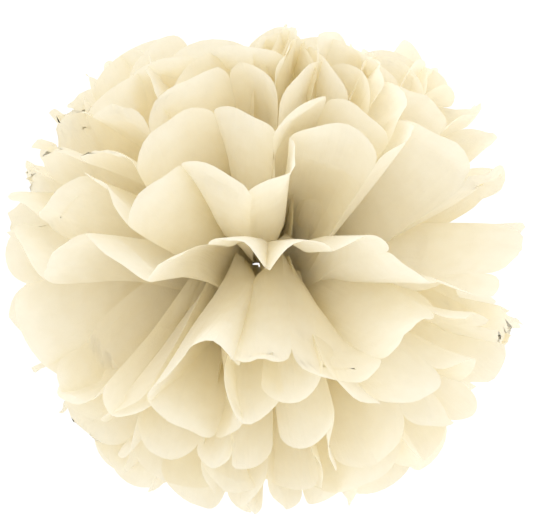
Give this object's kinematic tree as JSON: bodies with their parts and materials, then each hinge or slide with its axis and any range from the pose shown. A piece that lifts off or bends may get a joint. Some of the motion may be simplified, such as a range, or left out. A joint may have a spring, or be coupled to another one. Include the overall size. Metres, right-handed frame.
{
  "type": "tissue paper pom pom",
  "caption": "Round hanging decoration of pleated, round-tipped tissue sheets tied at the middle and pulled apart into a ball.",
  "frame": {"origin": "middle of the wire tie, which is the middle of the ball", "axes": "+Z is the axis of the ball, up when it hangs; +X runs along the folded strip of paper through the tie; the pleats open round +Z, and their clefts face -Y and +Y"},
  "size_m": [0.2442, 0.242, 0.2258],
  "materials": {
    "tissue": "matt, soft, lets light through",
    "wire": "dull drawn wire"
  },
  "bodies": {
    "root": {"tissue_sheet_1": "tissue", "tissue_sheet_2": "tissue", "tissue_sheet_3": "tissue", "tissue_sheet_4": "tissue", "tissue_sheet_5": "tissue", "tissue_sheet_6": "tissue", "tissue_sheet_7": "tissue", "tissue_sheet_8": "tissue", "tissue_sheet_9": "tissue", "tissue_sheet_10": "tissue", "tissue_sheet_11": "tissue", "tissue_sheet_12": "tissue", "tie_wire": "wire"}
  },
  "joints": []
}
